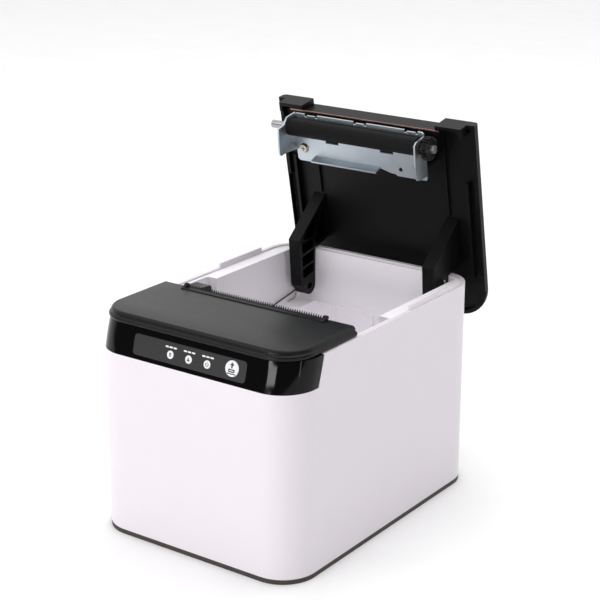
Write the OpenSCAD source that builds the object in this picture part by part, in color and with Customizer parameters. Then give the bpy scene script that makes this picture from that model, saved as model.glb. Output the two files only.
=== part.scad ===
// Desktop receipt printer for 80 mm paper, drawn with its paper lid open.
// Frame: +X right, -Y front, +Z up, origin at the middle of the underside.
// Parts that ride on the lid are drawn shut, then turned open about the hinge.

/* [Casing] */
// Width of the casing
body_w = 130; // [126:1:140]
// Depth of the casing
body_d = 176.8; // [172:0.2:190]
// Height of the white rim above the table
rim_z = 118.2; // [117.5:0.1:119]
// Corner radius of the casing seen from above
corner_r = 19.6; // [14:0.2:24]
// Height of the dark base strip
base_h = 2.6; // [2:0.1:4]
// Wall thickness of the white shell
wall = 2.4; // [1.8:0.1:2.6]
// Height of the closed lid and the front cover
top_z = 123.6; // [123:0.1:124.5]

/* [Control panel] */
// Height of the lower edge of the gloss band
band_z = 102.2; // [100:0.2:103]
// How far the band leans back from its lower to its upper edge
band_lean = 4.4; // [2:0.1:5]
// Width of the control panel label
panel_w = 72; // [66:1:76]
// Height of the control panel label
panel_h = 11; // [10:0.1:11.5]
// Distance between neighbouring indicator lamps
lamp_pitch = 11.8; // [10:0.1:12]
// Radius of an indicator lamp
lamp_r = 2.15; // [1.8:0.05:2.3]
// Radius of the paper feed button
button_r = 4.1; // [3.5:0.05:4.3]

/* [Paper bay] */
// Half width of the bay that holds the roll
bay_x = 41.6; // [41:0.1:42]
// Height of the ledge beside the bay
ledge_z = 85.3; // [84:0.1:86]
// Height of the floor of the bay
bay_floor_z = 26; // [24:0.5:28]
// Radius of the cradle at the bottom of the bay
cradle_r = 30; // [26:1:34]

/* [Lid] */
// Angle between the shut and the open lid
open_angle = 78.9; // [70:0.1:80]
// Distance of the hinge axis behind the middle
hinge_y = 77.1; // [76.5:0.1:77.5]
// Height of the hinge axis
hinge_z = 96.2; // [95.8:0.1:96.6]
// Distance of the lid's front edge in front of the middle
lid_front = 30.5; // [30:0.1:31]
// Thickness of the lid plate
lid_t = 2.2; // [1.8:0.1:2.4]

/* [Platen] */
// Radius of the rubber roller
rubber_r = 5; // [4.8:0.05:5.1]
// Half length of the rubber roller
rubber_x = 42; // [40:0.5:42]
// Radius of the roller's steel shaft
shaft_r = 2.3; // [2:0.05:2.5]
// Distance of the shut roller's axis in front of the middle
platen_front = 21.9; // [21.8:0.05:22]
// Height of the shut roller's axis
platen_z = 100.9; // [100.8:0.05:101]

/* [Gears] */
// Tooth module of the gear train
tooth_m = 0.6; // [0.6:0.05:0.6]
// Teeth of the platen gear
platen_teeth = 20; // [20:1:20]
// Teeth of the idler gear
idler_teeth = 24; // [24:1:24]
// Teeth of the motor pinion
pinion_teeth = 12; // [12:1:12]

/* [Hidden] */
$fn = 64;

tiny = 0.01;         // overlap that keeps a cut clean
big = 300;           // larger than the whole printer
gap = 0.1;           // gap between neighbouring fixed parts
run = 0.05;          // radial running clearance of a shaft

half_d = body_d / 2;
bay_front = -4;                     // inner faces of the bay, front and rear
bay_back = 81.5;
well_x = 54;                        // half width of the space above the ledge
well_y = 83.5;
jog_y = 4.5;                        // where the side walls get thinner
thin_x = 60.4;                      // inner face of the thin side walls
frame_front = -62;
frame_top = rim_z - 1;
frame_wall = 2.4;
band_end_top = -61;                 // the band's slanted ends, top and bottom
band_end_low = -66;
band_top = rim_z - band_z;
band_tilt = atan(band_lean / band_top);
panel_mid = 7.8;                    // middles measured up the band
button_up = 8.2;
lamp_up = 6.9;
button_x = 27.4;
lamp_x0 = -11.8;
cover_back = -lid_front - 0.3;
cover_edge_r = 4;                   // radius of the cover's rounded edge
bar_x = 46.4;                       // half length of the tear bar
bar_d = 5.3;
bar_teeth_x = 44;
bar_sink = 1.2;                     // how deep the bar lies in the cover
under_lid = top_z - lid_t;
plate_z = 105.6;                    // lower face of the shut platen bracket
plate_t = 1;
roller_mid = -2.7;                  // middle of the roller and its bracket, left of the lid's
ear_x = 42.35;                      // from there to the inner faces of the ears
post_x = 38;                        // and to the posts that carry the bracket
post_y = -7.6;
bush_r = 3.4;                       // outer radius of the roller's bushes
nose_back = 25.2;                   // rear face of the lid's front wall, in front of the middle
nose_z = 111.6;                     // lower face of that wall
arm_in = 41.6;
arm_out = 49.4;
gear_x = 44.6;
gear_w = 3.4;
mech_front = -58;
mech_back = -6;
mech_floor = ledge_z + 1.7;
mech_top = 108;
mech_left = -50.5;                  // left faces of the two side plates
mech_right = 48.4;
mech_t = 2;
motor_plate_x = 43;                 // plate that carries the motor
motor_plate_t = 1.2;
head_pin_y = -30.4;
head_pin_z = 91;
head_face_y = -27.3;                // face of the print head
spring_wall_y = -36;
platen_y = -platen_front;
idler_y = -34.55;
idler_z = 96.45;
pinion_y = -45.25;
pinion_z = 98;
bracket_posts = [roller_mid - post_x, roller_mid + post_x];
post_spots = [[-56, -48], [56, -48], [-50, 68], [50, 68]];
foot_spots = [[-48, -70], [48, -70], [-36, 74], [36, 74]];
frame_screw_spots = [[-44, -55], [44, -55]];
port_x = 46;
port_low = 7;
port_high = 33;
switch_x = -34;
jack_x = -12;
usb_x = 9;
drawer_x = 30;
board_z = 10.4;
board_t = 1.6;
board_top = board_z + board_t;
switch_mid = board_top + 9.4;         // heights of the rear parts' middles
jack_mid = board_top + 5.4;
usb_mid = board_top + 5.5;
drawer_mid = board_top + 7;
port_face = half_d - wall;          // outer face of the rear sockets
lever_y = -9;
lever_z = 91;

// ---------------------------------------------------------------- shapes

// Rounded rectangle centred on the origin
module round_rect(w, d, r) {
  square([w - 2 * r, d], center = true);
  square([w, d - 2 * r], center = true);
  for (sx = [-1, 1], sy = [-1, 1])
    translate([sx * (w / 2 - r), sy * (d / 2 - r)]) circle(r);
}

// Plan of the casing, moved inwards by inset
module plan(inset) {
  round_rect(body_w - 2 * inset, body_d - 2 * inset, corner_r - inset);
}

// Box given by its lowest and highest corners
module span(low, high) {
  translate(low) cube(high - low);
}

// Extrudes a drawing of the YZ plane from x0 to x1
module side_slab(x0, x1) {
  translate([x0, 0, 0]) rotate([90, 0, 90]) linear_extrude(x1 - x0) children();
}

// Cylinder along X from x0 to x1
module rod(x0, x1, y, z, r) {
  translate([x0, y, z]) rotate([0, 90, 0]) cylinder(r = r, h = x1 - x0);
}

// Moves a part from shut to the open rest position of the lid
module opened() {
  translate([0, hinge_y, hinge_z]) rotate([-open_angle, 0, 0])
    translate([0, -hinge_y, -hinge_z]) children();
}

// Local frame on the sloping band: Z points out of it, Y up the slope
module on_band(x, up) {
  translate([x, -half_d + up * sin(band_tilt), band_z + up * cos(band_tilt)])
    rotate([90 - band_tilt, 0, 0]) children();
}

// Spur gear outline with straight-sided teeth; the first tooth points at phase
module gear_outline(teeth, phase) {
  pitch_r = tooth_m * teeth / 2;
  root_r = pitch_r - 1.3 * tooth_m;
  tip_r = pitch_r + 0.85 * tooth_m;
  step = 360 / teeth;
  polygon([for (i = [0:teeth - 1], k = [[root_r, -0.32], [tip_r, -0.11], [tip_r, 0.11], [root_r, 0.32]])
    k[0] * [cos(phase + (i + k[1]) * step), sin(phase + (i + k[1]) * step)]]);
}

// Spur gear along X with a bore, its angles measured in the YZ plane
module gear(teeth, phase, y, z, bore_r) {
  difference() {
    translate([0, y, z]) side_slab(gear_x, gear_x + gear_w) gear_outline(teeth, phase);
    rod(gear_x - 1, gear_x + gear_w + 1, y, z, bore_r);
  }
}

// Solid rings side by side, as a closely wound spring looks; along X
module ring_stack(x0, y, z, mean_r, wire_r, turns) {
  translate([x0, y, z]) rotate([0, 90, 0]) rotate_extrude()
    for (i = [0:turns - 1])
      translate([mean_r, wire_r + i * wire_r * 1.8]) circle(wire_r, $fn = 16);
}

// Cross-slotted screw, head up at the origin
module screw(head_r, head_h, shank_r, length) {
  difference() {
    union() {
      cylinder(r1 = head_r, r2 = head_r * 0.72, h = head_h);
      translate([0, 0, -length]) cylinder(r = shank_r, h = length + tiny);
    }
    for (a = [0, 90]) rotate(a)
      translate([-head_r * 0.5, -head_r * 0.1, head_h * 0.45]) cube([head_r, head_r * 0.2, head_h]);
  }
}

// ---------------------------------------------------------------- casing

module base_plate() {
  color("#3d3532") difference() {
    union() {
      linear_extrude(base_h) plan(0);
      translate([0, 0, base_h - tiny]) linear_extrude(2.4) difference() {
        plan(wall + gap);
        plan(wall + gap + 1.6);
      }
      for (p = post_spots) translate([p[0], p[1], 0]) cylinder(r = 5.2, h = 6);
      for (sx = [-1, 1], sy = [-1, 1]) translate([sx * 40, sy * 50, 0]) cylinder(r = 3, h = board_z);
    }
    for (p = post_spots) translate([p[0], p[1], -tiny]) {
      cylinder(r = 3.4, h = 2.2);
      cylinder(r = 1.7, h = 10);
    }
    for (p = foot_spots) translate([p[0], p[1], -tiny]) cylinder(r = 6, h = 1.4);
    for (sx = [-1, 1], i = [0:6]) translate([sx * 22 - 14, -30 + i * 6, -1]) cube([28, 2, 6]);
  }
}

// Cuts away what lies above and in front of the slanted edge of the shell
module band_space() {
  side_slab(-big / 2, big / 2) polygon([[-big, band_z], [band_end_low, band_z],
    [band_end_top, rim_z], [band_end_top, big], [-big, big]]);
}

module main_shell() {
  color("#f4f0f5") {
    difference() {
      translate([0, 0, base_h]) linear_extrude(rim_z - base_h) plan(0);
      translate([0, 0, -1]) linear_extrude(big) plan(wall);
      band_space();
      span([-port_x, half_d - 10, port_low], [port_x, half_d + 1, port_high]);
    }
    // locating strips on the side rims
    for (sx = [-1, 1])
      translate([sx * 63.4 - 0.7, 19, rim_z - tiny]) cube([1.4, 39, 2.4]);
  }
}

// Side view of the inside of the paper bay, moved outwards by grow, up to a height
module bay_profile(grow, high) {
  w = bay_back - bay_front + 2 * grow;
  r = cradle_r + grow;
  low = bay_floor_z - grow;
  translate([(bay_front + bay_back) / 2, 0]) {
    translate([-w / 2, low + r]) square([w, high - low - r]);
    translate([-w / 2 + r, low]) square([w - 2 * r, high - low]);
    for (s = [-1, 1]) translate([s * (w / 2 - r), low + r]) circle(r);
  }
}

module inner_frame() {
  rib = 1.6;
  color("#ece9ee") difference() {
    union() {
      // ring that fills the shell from the ledge to the rim
      difference() {
        translate([0, 0, ledge_z - frame_wall])
          linear_extrude(frame_top - ledge_z + frame_wall) plan(wall + gap);
        span([-well_x, jog_y - tiny, ledge_z], [well_x, well_y, big]);
        span([-thin_x, frame_front + frame_wall, ledge_z], [thin_x, jog_y, big]);
        // the thick side walls are hollow from below
        for (sx = [-1, 1]) translate([sx * 58.3 - 1.8, jog_y + 2.4, 0]) cube([3.6, 68, frame_top - 2.4]);
        span([-big, -big, 0], [big, frame_front, big]);
      }
      // outside of the paper bay
      side_slab(-bay_x - frame_wall, bay_x + frame_wall) bay_profile(frame_wall, ledge_z - tiny);
      for (p = post_spots) translate([p[0], p[1], 6]) cylinder(r = 4, h = ledge_z - 6 - 1);
      // bosses under the print mechanism
      for (p = frame_screw_spots) translate([p[0], p[1], ledge_z - 12]) cylinder(r = 3, h = 11);
    }
    side_slab(-bay_x, bay_x) bay_profile(0, big);
    for (p = post_spots) translate([p[0], p[1], 0]) cylinder(r = 1.5, h = 18);
    for (p = frame_screw_spots) translate([p[0], p[1], ledge_z - 10]) cylinder(r = 1.2, h = 20);
    // slot for the head cable
    span([-13, -58, ledge_z - 5], [13, -53, ledge_z + 1]);
    // bores for the hinge pins
    rod(-well_x - 3, well_x + 3, hinge_y, hinge_z, 2);
  }
  // upright ribs on the rear wall of the bay
  color("#ece9ee") for (x = [-26.6, 0, 26.6])
    span([x - rib / 2, bay_back - rib, bay_floor_z + cradle_r], [x + rib / 2, bay_back + tiny, ledge_z]);
}

// Upright block centred on x and mid, from depth y0 to y1
module block(x, mid, w, h, y0, y1) {
  span([x - w / 2, y0, mid - h / 2], [x + w / 2, y1, mid + h / 2]);
}

module port_plate() {
  plate_y = half_d - 3;
  color("#3a3a3c") difference() {
    span([-port_x + gap, plate_y - 2, port_low + gap], [port_x - gap, plate_y, port_high - gap]);
    block(switch_x, switch_mid, 15, 19, plate_y - 5, half_d);
    block(jack_x, jack_mid, 10, 11, plate_y - 5, half_d);
    block(usb_x, usb_mid, 12.2, 11.2, plate_y - 5, half_d);
    block(drawer_x, drawer_mid, 14.2, 14.2, plate_y - 5, half_d);
  }
}

module power_socket() {
  color("#202022") difference() {
    block(jack_x, jack_mid, 9.8, 10.8, port_face - 13.6, port_face);
    translate([jack_x, port_face - 8.6, jack_mid]) rotate([-90, 0, 0]) cylinder(r = 3.3, h = 10);
    translate([jack_x, port_face - 11.6, jack_mid]) rotate([-90, 0, 0]) difference() {
      cylinder(r = 3, h = 4);
      cylinder(r = 0.7, h = 2.6);
    }
  }
}

module usb_socket() {
  color("#c9ccd0") difference() {
    block(usb_x, usb_mid, 12, 11, port_face - 14, port_face);
    block(usb_x, usb_mid, 8.6, 8, port_face - 11, half_d);
  }
}

module drawer_socket() {
  color("#1c1c1e") difference() {
    block(drawer_x, drawer_mid, 14, 14, port_face - 14, port_face);
    block(drawer_x, drawer_mid, 10, 7, port_face - 11, half_d);
    block(drawer_x, drawer_mid - 4.4, 4.4, 2.2, port_face - 9, half_d);
  }
}

module switch_housing() {
  color("#1c1c1e") difference() {
    block(switch_x, switch_mid, 14.8, 18.8, port_face - 12, port_face);
    block(switch_x, switch_mid, 10.8, 14.8, port_face - 10, half_d);
    rod(switch_x - 6.6, switch_x + 6.6, port_face - 3, switch_mid, 1 + run);
  }
}

// Rocker with its lower end pressed in
module power_rocker() {
  pivot_y = port_face - 3;
  color("#2a2a2c") union() {
    side_slab(switch_x - 5, switch_x + 5) translate([pivot_y, switch_mid]) rotate(8)
      polygon([[-2.5, -2.4], [3, -6.4], [4, -6.4], [3.2, 0], [4, 6.4], [3, 6.4], [-2.5, 2.4]]);
    rod(switch_x - 6.4, switch_x + 6.4, pivot_y, switch_mid, 1);
  }
}

module rubber_feet() {
  color("#1a1a1a") for (p = foot_spots) translate([p[0], p[1], 0]) cylinder(r = 5.9, h = 1.3);
}

module base_screws() {
  color("#8c8f93") for (p = post_spots) translate([p[0], p[1], 2]) mirror([0, 0, 1]) screw(3, 1.3, 1.45, 12);
}

// ---------------------------------------------------------------- front

// Solid of the band, moved inwards by inset and lengthened by extra at both ends
module band_solid(inset, extra) {
  hull() for (t = [0, 1])
    translate([0, 0, t == 0 ? band_z - extra : rim_z + extra - tiny]) linear_extrude(tiny)
      translate([0, (t * band_lean + inset) / 2 - 20])
        round_rect(body_w - 2 * inset - 0.4 * t, body_d - t * band_lean - inset - 40,
          corner_r - inset, $fn = 96);
}

// Openings for the lamps and the button, through the band and its label
module panel_holes() {
  for (i = [0:2]) on_band(lamp_x0 + i * lamp_pitch, lamp_up) translate([0, 0, -4])
    cylinder(r = lamp_r + 0.05, h = 6);
  on_band(button_x, button_up) translate([0, 0, -4]) cylinder(r = button_r + 0.15, h = 6);
}

module front_bezel() {
  color("#0b0b0c") difference() {
    intersection() {
      difference() {
        band_solid(0, 0);
        band_solid(2.2, 1);
      }
      side_slab(-big / 2, big / 2) polygon([[-big, band_z], [band_end_low - gap, band_z],
        [band_end_top - gap, rim_z], [-big, rim_z]]);
    }
    on_band(0, panel_mid) translate([0, 0, -0.3]) linear_extrude(2)
      round_rect(panel_w + 0.1, panel_h + 0.1, 2);
    panel_holes();
  }
}

module panel_label() {
  color("#4a4a4c") difference() {
    on_band(0, panel_mid) translate([0, 0, -0.3]) linear_extrude(0.4) round_rect(panel_w, panel_h, 2);
    panel_holes();
  }
}

module indicator_lamps() {
  color("white") for (i = [0:2]) on_band(lamp_x0 + i * lamp_pitch, lamp_up)
    translate([0, 0, -3.9]) cylinder(r = lamp_r, h = 4.1);
}

module feed_button() {
  color("white") on_band(button_x, button_up) {
    translate([0, 0, -2]) cylinder(r = button_r, h = 2.5);
    translate([0, 0, -3.2]) cylinder(r = 1.4, h = 1.3);
  }
}

module button_switch() {
  color("#33363a") on_band(button_x, button_up) translate([-3, -3, -5.58]) cube([6, 6, 1.68]);
}

module panel_board() {
  color("#2f5d3a") on_band(0, panel_mid) {
    translate([-36, -6, -6.8]) cube([72, 12, 1.2]);
    for (i = [0:2]) translate([lamp_x0 + i * lamp_pitch - 1.6, lamp_up - panel_mid - 1.4, -5.7])
      cube([3.2, 2.8, 1.2]);
    translate([-34, -4, -9.6]) cube([12, 6, 2.9]);
  }
}

// Plan of the cover, moved inwards by inset; its front edge stands a little behind the shell's
module cover_plan(inset) {
  setback = 2;
  difference() {
    translate([0, setback / 2])
      round_rect(body_w - 2 * inset, body_d - setback - 2 * inset, corner_r - inset, $fn = 96);
    translate([-big, cover_back]) square([2 * big, big]);
  }
}

module front_cover() {
  edge = cover_edge_r;
  color("#3c3c3e") difference() {
    hull() for (a = [0:15:90])
      translate([0, 0, top_z - edge + edge * sin(a) - tiny]) linear_extrude(tiny)
        cover_plan(edge * (1 - cos(a)));
    span([-60.5, -79, rim_z - 2], [60.5, cover_back - 2.2, top_z - 2.2]);
    span([-bar_x - gap, cover_back - bar_d - gap, top_z - bar_sink], [bar_x + gap, big, top_z + 1]);
  }
  color("#3c3c3e") cover_edge();
}

// Upright part of the cover's edge, below the rounding
module cover_edge() {
  translate([0, 0, rim_z]) linear_extrude(top_z - cover_edge_r - rim_z + tiny) difference() {
    cover_plan(0);
    cover_plan(2.4);
  }
}

module tear_bar() {
  teeth = 60;
  pitch = 2 * bar_teeth_x / teeth;
  tooth_h = 0.9;
  fin_h = 3.2;
  back = cover_back;
  color("#19191a") {
    translate([0, 0, top_z - bar_sink]) linear_extrude(bar_sink + 1)
      polygon(concat([[-bar_x, back - bar_d], [bar_x, back - bar_d], [bar_x, back], [bar_teeth_x, back]],
        [for (i = [0:teeth - 1], k = [0, 0.5])
          [bar_teeth_x - (i + k) * pitch, back - (k == 0 ? tooth_h : 0)]],
        [[-bar_teeth_x, back], [-bar_x, back]]));
    for (x = [-bar_x, bar_teeth_x]) side_slab(x, x + bar_x - bar_teeth_x)
      polygon([[back - bar_d, top_z], [back, top_z], [back, top_z + fin_h], [back - 1.8, top_z + fin_h]]);
  }
}

// ---------------------------------------------------------------- print mechanism

module shaft_notch(x0, x1) {
  rod(x0, x1, platen_y, platen_z, shaft_r + 0.3);
  side_slab(x0, x1) polygon([[platen_y - shaft_r - 0.3, platen_z], [platen_y + shaft_r + 0.3, platen_z],
    [platen_y + shaft_r + 2.4, platen_z + 10], [platen_y - shaft_r - 0.3, platen_z + 10]]);
}

module mech_frame() {
  ramp_y = -24;
  lug_t = 1.2;
  cable_half = 13;
  plate_end = motor_plate_x + motor_plate_t;
  color("#1d1d1f") difference() {
    union() {
      span([mech_left + mech_t, mech_front, ledge_z], [mech_right, -30, mech_floor]);
      span([-43.5, -30 - tiny, ledge_z], [43.5, mech_back, mech_floor]);
      // wall that the head springs press against
      span([mech_left + mech_t, spring_wall_y - 1.2, ledge_z + 1], [plate_end, spring_wall_y, mech_top - 2]);
      // plate that carries the motor
      span([motor_plate_x, -52.2, ledge_z + 1], [plate_end, spring_wall_y, mech_top]);
      // ramp that leads the paper up to the roller
      side_slab(-41, 41) polygon([[ramp_y, ledge_z + 1], [ramp_y, 94.2], [ramp_y + 7, 94.2],
        [mech_back, 88.5], [mech_back, ledge_z + 1]]);
      // lugs for the print head's pin
      for (x = [-43.5, 42.3]) span([x, -33, ledge_z + 1], [x + lug_t, -28, 94]);
    }
    rod(-60, 60, head_pin_y, head_pin_z, 1);
    rod(motor_plate_x - 1, plate_end + 1, idler_y, idler_z, 1);
    rod(motor_plate_x - 1, plate_end + 1, pinion_y, pinion_z, 3);
    // seat of the paper sensor
    span([-4.2, -16, 90], [4.2, -10, 100]);
    for (p = frame_screw_spots) translate([p[0], p[1], ledge_z - 1]) cylinder(r = 1.3, h = 10);
    // ways for the head cable
    span([-cable_half, mech_front - tiny, ledge_z - 1], [cable_half, -53, mech_floor + 1]);
    span([-11, -38, 87.6], [11, -35, 89]);
    // thinned ramp
    side_slab(-39, 39) polygon([[ramp_y + 2, 0], [ramp_y + 2, 92.4], [ramp_y + 6, 92.4],
      [mech_back - 4, 87.8], [mech_back - 4, 0]]);
  }
}

// Side plate of the print mechanism, with the notch that catches the roller's shaft
module mech_side(x) {
  color("#1d1d1f") difference() {
    union() {
      span([x, mech_front, ledge_z], [x + mech_t, mech_back, mech_top]);
      // boss for the lever's pin
      if (x < 0) rod(x - 0.4, x + 1, lever_y, lever_z, 3);
    }
    shaft_notch(x - 1, x + mech_t + 1);
    if (x < 0) rod(x - 1, x + mech_t + 1, lever_y, lever_z, 1.2);
    if (x > 0) rod(x - 1, x + mech_t + 1, idler_y, idler_z, 1);
  }
}

module thermal_head() {
  color("#d9d4c8") union() {
    span([-42, head_face_y - 1.1, 93], [42, head_face_y, 105.2]);
    // raised line of heating dots
    rod(-41.5, 41.5, head_face_y - 0.05, platen_z, 0.33);
  }
}

module heat_sink() {
  fin_pitch = 9;
  fin_gap = 6;
  color("#b9bcc0") difference() {
    union() {
      span([-41, head_pin_y, 89.5], [41, head_face_y - 1.1, 104.6]);
      rod(-42, 42, head_pin_y, head_pin_z, 2.2);
    }
    rod(-50, 50, head_pin_y, head_pin_z, 1 + run);
    for (i = [-4:4]) translate([i * fin_pitch, head_pin_y, 0])
      span([-fin_gap / 2, -1.6, 97], [fin_gap / 2, 0.8, 103.6]);
  }
}

module head_pin() {
  color("#b9bcc0") rod(-43.4, 43.4, head_pin_y, head_pin_z, 1);
}

module head_springs() {
  color("#c9ccd0") for (x = [-27, 27]) translate([x, spring_wall_y, 100]) rotate([-90, 0, 0]) rotate_extrude()
    for (i = [0:5]) translate([1.9, 0.45 + i * 0.82]) circle(0.45, $fn = 16);
}

module stepper_motor() {
  color("#9a9da1") difference() {
    union() {
      rod(26, motor_plate_x, pinion_y, pinion_z, 7.4);
      span([motor_plate_x - 1, pinion_y - 9.4, pinion_z - 3], [motor_plate_x, pinion_y + 8, pinion_z + 3]);
      span([28, pinion_y - 5, pinion_z + 4], [38, pinion_y + 5, pinion_z + 9]);
    }
    rod(38, 44, pinion_y, pinion_z, 0.75 + run);
  }
}

module motor_shaft() {
  color("#c9ccd0") rod(38.2, gear_x + gear_w, pinion_y, pinion_z, 0.75);
}

// Directions from one gear axis to the next, in the YZ plane
idler_to_platen = atan2(platen_z - idler_z, platen_y - idler_y);
idler_to_pinion = atan2(pinion_z - idler_z, pinion_y - idler_y);
idler_phase = idler_to_platen;
// how far the idler's nearest tooth stands from the line to the pinion
pinion_offset = (idler_to_pinion - idler_phase) * idler_teeth / 360;
pinion_phase = idler_to_pinion + 180 + (0.5 + pinion_offset - floor(pinion_offset)) * 360 / pinion_teeth;

module motor_pinion() {
  color("#c8a45c") gear(pinion_teeth, pinion_phase, pinion_y, pinion_z, 0.75);
}

module idler_axle() {
  color("#c9ccd0") rod(motor_plate_x, mech_right + mech_t, idler_y, idler_z, 1);
}

module idler_gear() {
  color("#e4e0d6") gear(idler_teeth, idler_phase, idler_y, idler_z, 1 + run);
}

module lever_pin() {
  color("#c9ccd0") rod(-60.2, mech_left + mech_t, lever_y, lever_z, 1.2);
}

module release_lever() {
  color("#161617") difference() {
    union() {
      side_slab(-60, -51) polygon([[-17.6, 104], [-17.6, 116.2], [-16.4, 117.2], [-5, 116.3],
        [-3.9, 115.2], [-3.9, 104], [-6.4, 91], [-11.6, 91]]);
      rod(-60, -51, lever_y, lever_z, 3.4);
    }
    rod(-61, -50, lever_y, lever_z, 1.2 + run);
    // hollow in the face that looks towards the paper
    span([-53, -15.6, 103], [-50, -5.4, 114]);
  }
}

module paper_sensor() {
  color("#222224") span([-4, -15.8, 90.2], [4, -10.2, 91.9]);
}

module main_board() {
  low = board_top - tiny;
  color("#2f5d3a") {
    span([-50, -60, board_z], [50, 60, board_top]);
    span([-44, 60 - tiny, board_z], [44, 83, board_top]);
  }
  // processor, driver chip, cable socket, pin header and capacitors
  color("#222224") {
    span([-20, -20, low], [-4, -4, board_top + 1.4]);
    span([8, -34, low], [20, -26, board_top + 1.2]);
    span([-11, -57, low], [11, -53, board_top + 4]);
    span([-44, -12, low], [-38, 12, board_top + 7]);
    for (p = [[34, -12], [34, 2], [-32, 44]]) translate([p[0], p[1], low]) cylinder(r = 4, h = 8.5);
  }
}

// Flat cable from the print head down to the main board
module head_cable() {
  color("#e9e4d2") side_slab(-10, 10) {
    polygon([[-31.6, 88.5], [-54.6, 88.5], [-55.5, 87.6], [-55.5, board_top + 4],
      [-55.2, board_top + 4], [-55.2, 87.48], [-54.48, 88.2], [-31.6, 88.2]]);
  }
}

module frame_screws() {
  color("#8c8f93") for (p = frame_screw_spots) translate([p[0], p[1], mech_floor]) screw(2.6, 1.4, 1.15, 9);
}

// ---------------------------------------------------------------- lid hinge

module hinge_pins() {
  color("#c9ccd0") for (sx = [-1, 1])
    rod(sx < 0 ? -56.9 : 43.6, sx < 0 ? -43.6 : 56.9, hinge_y, hinge_z, 2);
}

// Torsion springs beside the arms, with the leg that rests on the ledge
module hinge_springs() {
  color("#c9ccd0") for (sx = [-1, 1]) mirror([sx < 0 ? 1 : 0, 0, 0]) {
    ring_stack(49.7, hinge_y, hinge_z, 2.9, 0.5, 4);
    translate([52.9, hinge_y + 2.9, ledge_z + 0.5]) cylinder(r = 0.5, h = hinge_z - ledge_z - 0.5, $fn = 16);
    translate([52.9, hinge_y + 2.9, ledge_z + 0.5]) rotate([90, 0, 0]) cylinder(r = 0.5, h = 8, $fn = 16);
  }
}

// Route of the earth wire from the left hinge spring forward along the wall
earth_route = [[-52.9, 71.4, 85.9], [-52.6, 66, 86.2], [-52.2, 58, 86.8], [-51.6, 49, 86.6],
  [-51.4, 40, 85.9], [-51.6, 30, 85.8], [-52, 20, 85.8], [-52.6, 10, 85.8], [-54, 2, 85.8],
  [-56, -8, 85.8], [-57.2, -20, 85.8], [-57.6, -34, 85.8]];
wire_r = 0.45;
wire_sides = 8;

function unit(v) = v / norm(v);
function route_dir(p, i) = unit(p[min(i + 1, len(p) - 1)] - p[max(i - 1, 0)]);
function wire_ring(p, i) =
  let (d = route_dir(p, i), u = unit(cross(d, [0, 0, 1])), v = cross(u, d), step = 360 / wire_sides)
    [for (k = [0:wire_sides - 1]) p[i] + wire_r * (cos(k * step) * u + sin(k * step) * v)];

// Round tube along a list of points
module wire(p) {
  n = len(p);
  s = wire_sides;
  polyhedron(
    points = [for (i = [0:n - 1]) each wire_ring(p, i)],
    faces = concat(
      [[for (k = [0:s - 1]) k]],
      [for (i = [0:n - 2], k = [0:s - 1])
        [i * s + k, (i + 1) * s + k, (i + 1) * s + (k + 1) % s, i * s + (k + 1) % s]],
      [[for (k = [s - 1:-1:0]) (n - 1) * s + k]]));
}

module earth_wire() {
  color("#2b2b2d") wire(earth_route);
}

// ---------------------------------------------------------------- lid

// Plan of the shut lid, moved inwards by inset
module lid_plan(inset) {
  difference() {
    plan(inset);
    translate([-big, -big]) square([2 * big, big - lid_front + inset]);
  }
}

module lid() {
  slot_x = 44;
  slot_d = 3.3;
  edge = 2.6;
  nose_x = 60;
  skirt_z = rim_z + 0.2;
  side_rib_x = 58;
  side_rib_z = 117.6;
  rib_x = 43.5;
  rib_z = 119.8;
  color("#141416") opened() difference() {
    union() {
      // plate with a rounded outer edge
      hull() for (a = [0:22.5:90])
        translate([0, 0, top_z - edge + edge * sin(a) - tiny]) linear_extrude(tiny) difference() {
          plan(edge * (1 - cos(a)));
          translate([-big, -big]) square([2 * big, big - lid_front]);
        }
      translate([0, 0, skirt_z]) linear_extrude(top_z - edge - skirt_z) lid_plan(0);
      // front wall
      span([-nose_x, -lid_front, nose_z], [nose_x, -nose_back, under_lid]);
      lid_ribs(side_rib_x, side_rib_z, rib_x, rib_z, under_lid + tiny);
      // posts that the roller bracket is screwed to
      for (x = bracket_posts) translate([x, post_y, plate_z + plate_t])
        cylinder(r = 3.5, h = under_lid - plate_z - plate_t + tiny);
    }
    // hollow inside
    difference() {
      translate([0, 0, rim_z - 1]) linear_extrude(under_lid - rim_z + 1) lid_plan(2.2);
      span([-nose_x, -lid_front - 1, 100], [nose_x, -nose_back, big]);
      lid_ribs(side_rib_x, 100, rib_x, rib_z, big);
      for (x = bracket_posts) translate([x, post_y, 100]) cylinder(r = 3.5, h = 40);
    }
    // hollows of the front wall, open at the bottom
    for (x = [-nose_x + 1.8, nose_x - 13.8])
      span([x, -lid_front + 2, 100], [x + 12, -lid_front + 10, under_lid]);
    // the paper leaves through the recess in the front edge
    span([-slot_x, -big, 100], [slot_x, -lid_front + slot_d, big]);
    // room over the locating strips and over the rear rim
    for (sx = [-1, 1]) span([sx * 64 - 2.3, 17.5, 100], [sx * 64 + 2.3, 60, rim_z + 2.9]);
    span([-big, 70, 100], [big, big, rim_z + 1.5]);
    for (x = bracket_posts) translate([x, post_y, 100]) cylinder(r = 1.2, h = 16);
  }
}

// Ribs along the lid, from their lower edges up to high: one pair at its sides, one pair nearer its middle
module lid_ribs(side_x, side_z, mid_x, mid_z, high) {
  for (sx = [-1, 1]) {
    span([sx * side_x - 0.8, 4, side_z], [sx * side_x + 0.8, 62, high]);
    span([sx * mid_x - 0.6, -24, mid_z], [sx * mid_x + 0.6, 27, high]);
  }
}

// Side view of a shut hinge arm
module arm_outline() {
  polygon([[28.2, under_lid], [45.8, 91.5], [74, 88.5], [77.8, 90.9], [78.6, 101.3], [56.3, 105.7],
    [55.5, under_lid]]);
  translate([hinge_y, hinge_z]) circle(5.2);
}

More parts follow.
